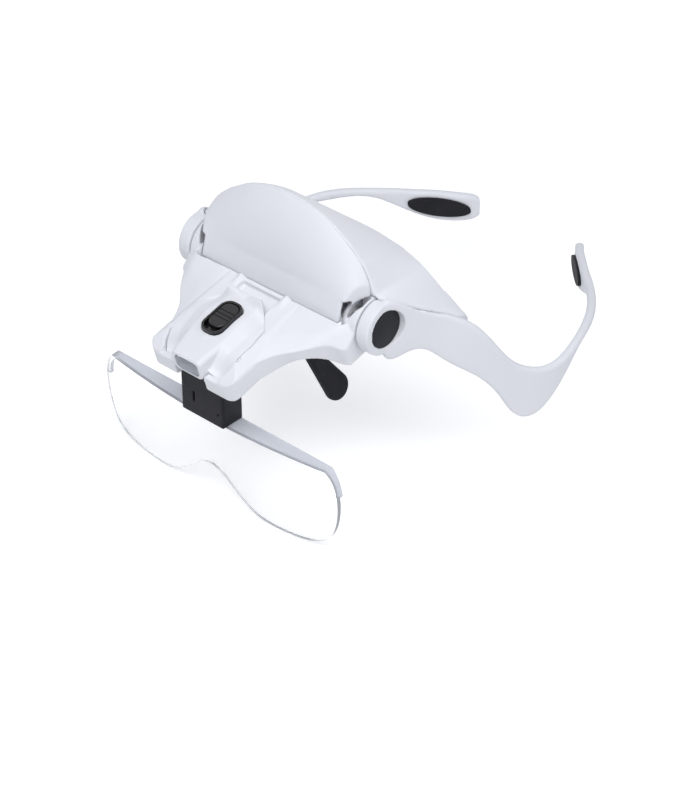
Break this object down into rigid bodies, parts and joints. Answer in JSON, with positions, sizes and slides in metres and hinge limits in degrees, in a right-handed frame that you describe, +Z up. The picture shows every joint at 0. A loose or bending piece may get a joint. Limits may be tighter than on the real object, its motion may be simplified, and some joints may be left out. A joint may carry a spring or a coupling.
{
  "type": "lighted magnifier glasses",
  "caption": "Head-worn magnifier: visor with bowed side legs, flip-up bracket with battery box, lamp and slide switch, nose rest, and a clear bowed lens that pulls out of its holder",
  "frame": {"origin": "centre of the bounding box in plan, at the level of the lens's lower edge", "axes": "X across the head with the wearer's left at +X, -Y forward, +Z up, as worn with the head level"},
  "size_m": [0.1942, 0.2524, 0.1431],
  "materials": {
    "white_plastic": "satin moulded ABS, cool white",
    "cover_white": "satin moulded ABS, cool white",
    "leg_white": "satin moulded nylon, cool white",
    "black_plastic": "fine matt black",
    "knob_black": "glossy black",
    "soft_rubber": "soft matt black",
    "lens_clear": "clear polished acrylic, written as glass",
    "window_clear": "clear lamp window",
    "steel": "plain bright steel",
    "spring_steel": "plated spring steel",
    "board_green": "resin board",
    "cell_jacket": "plain dark jacket",
    "led_clear": "clear moulded lamp body"
  },
  "bodies": {
    "visor": {"visor_frame": "white_plastic", "visor_dome": "white_plastic", "dome_screws": "steel", "nose_stem": "black_plastic", "nose_pad_left": "soft_rubber", "nose_pad_right": "soft_rubber", "hub_pivot_left": "steel", "hub_pivot_right": "steel", "friction_washer_left": "steel", "friction_washer_right": "steel"},
    "left_leg": {"leg_left": "leg_white", "leg_pad_left": "soft_rubber", "spring_washer_left": "spring_steel"},
    "right_leg": {"leg_right": "leg_white", "leg_pad_right": "soft_rubber", "spring_washer_right": "spring_steel"},
    "left_button": {"hub_button_left": "black_plastic"},
    "right_button": {"hub_button_right": "black_plastic"},
    "bracket": {"bracket_shell": "white_plastic", "top_cover": "cover_white", "cover_screws": "steel", "circuit_board": "board_green", "switch_body": "black_plastic", "switch_bezel": "knob_black", "batteries": "cell_jacket", "battery_contacts": "spring_steel", "lens_holder": "black_plastic", "lens_catch": "spring_steel", "lamp_window": "window_clear", "lamp_board": "board_green", "lamp_leds": "led_clear"},
    "door": {"battery_door": "white_plastic"},
    "knob": {"switch_knob": "knob_black"},
    "lens_body": {"lens": "lens_clear"}
  },
  "joints": [
    {"name": "left_leg_release", "type": "slide", "parent": "visor", "child": "left_leg", "axis": [1, 0, 0], "range_m": [0, 0.008]},
    {"name": "right_leg_release", "type": "slide", "parent": "visor", "child": "right_leg", "axis": [-1, 0, 0], "range_m": [0, 0.008]},
    {"name": "left_button_press", "type": "slide", "parent": "left_leg", "child": "left_button", "axis": [-1, 0, 0], "range_m": [0, 0.0008], "stiffness_N_per_m": 900},
    {"name": "right_button_press", "type": "slide", "parent": "right_leg", "child": "right_button", "axis": [1, 0, 0], "range_m": [0, 0.0008], "stiffness_N_per_m": 900},
    {"name": "bracket_flip", "type": "hinge", "parent": "visor", "child": "bracket", "pos_m": [0, -0.05636, 0.09476], "axis": [-1, 0, 0], "range_deg": [0, 24]},
    {"name": "battery_door_lift", "type": "slide", "parent": "bracket", "child": "door", "axis": [0, 0.2419, -0.9703], "range_m": [0, 0.006]},
    {"name": "switch_slide", "type": "slide", "parent": "bracket", "child": "knob", "axis": [0, -0.9703, -0.2419], "range_m": [0, 0.0022]},
    {"name": "lens_pull", "type": "slide", "parent": "bracket", "child": "lens_body", "axis": [0, 0, -1], "range_m": [0, 0.012]}
  ]
}
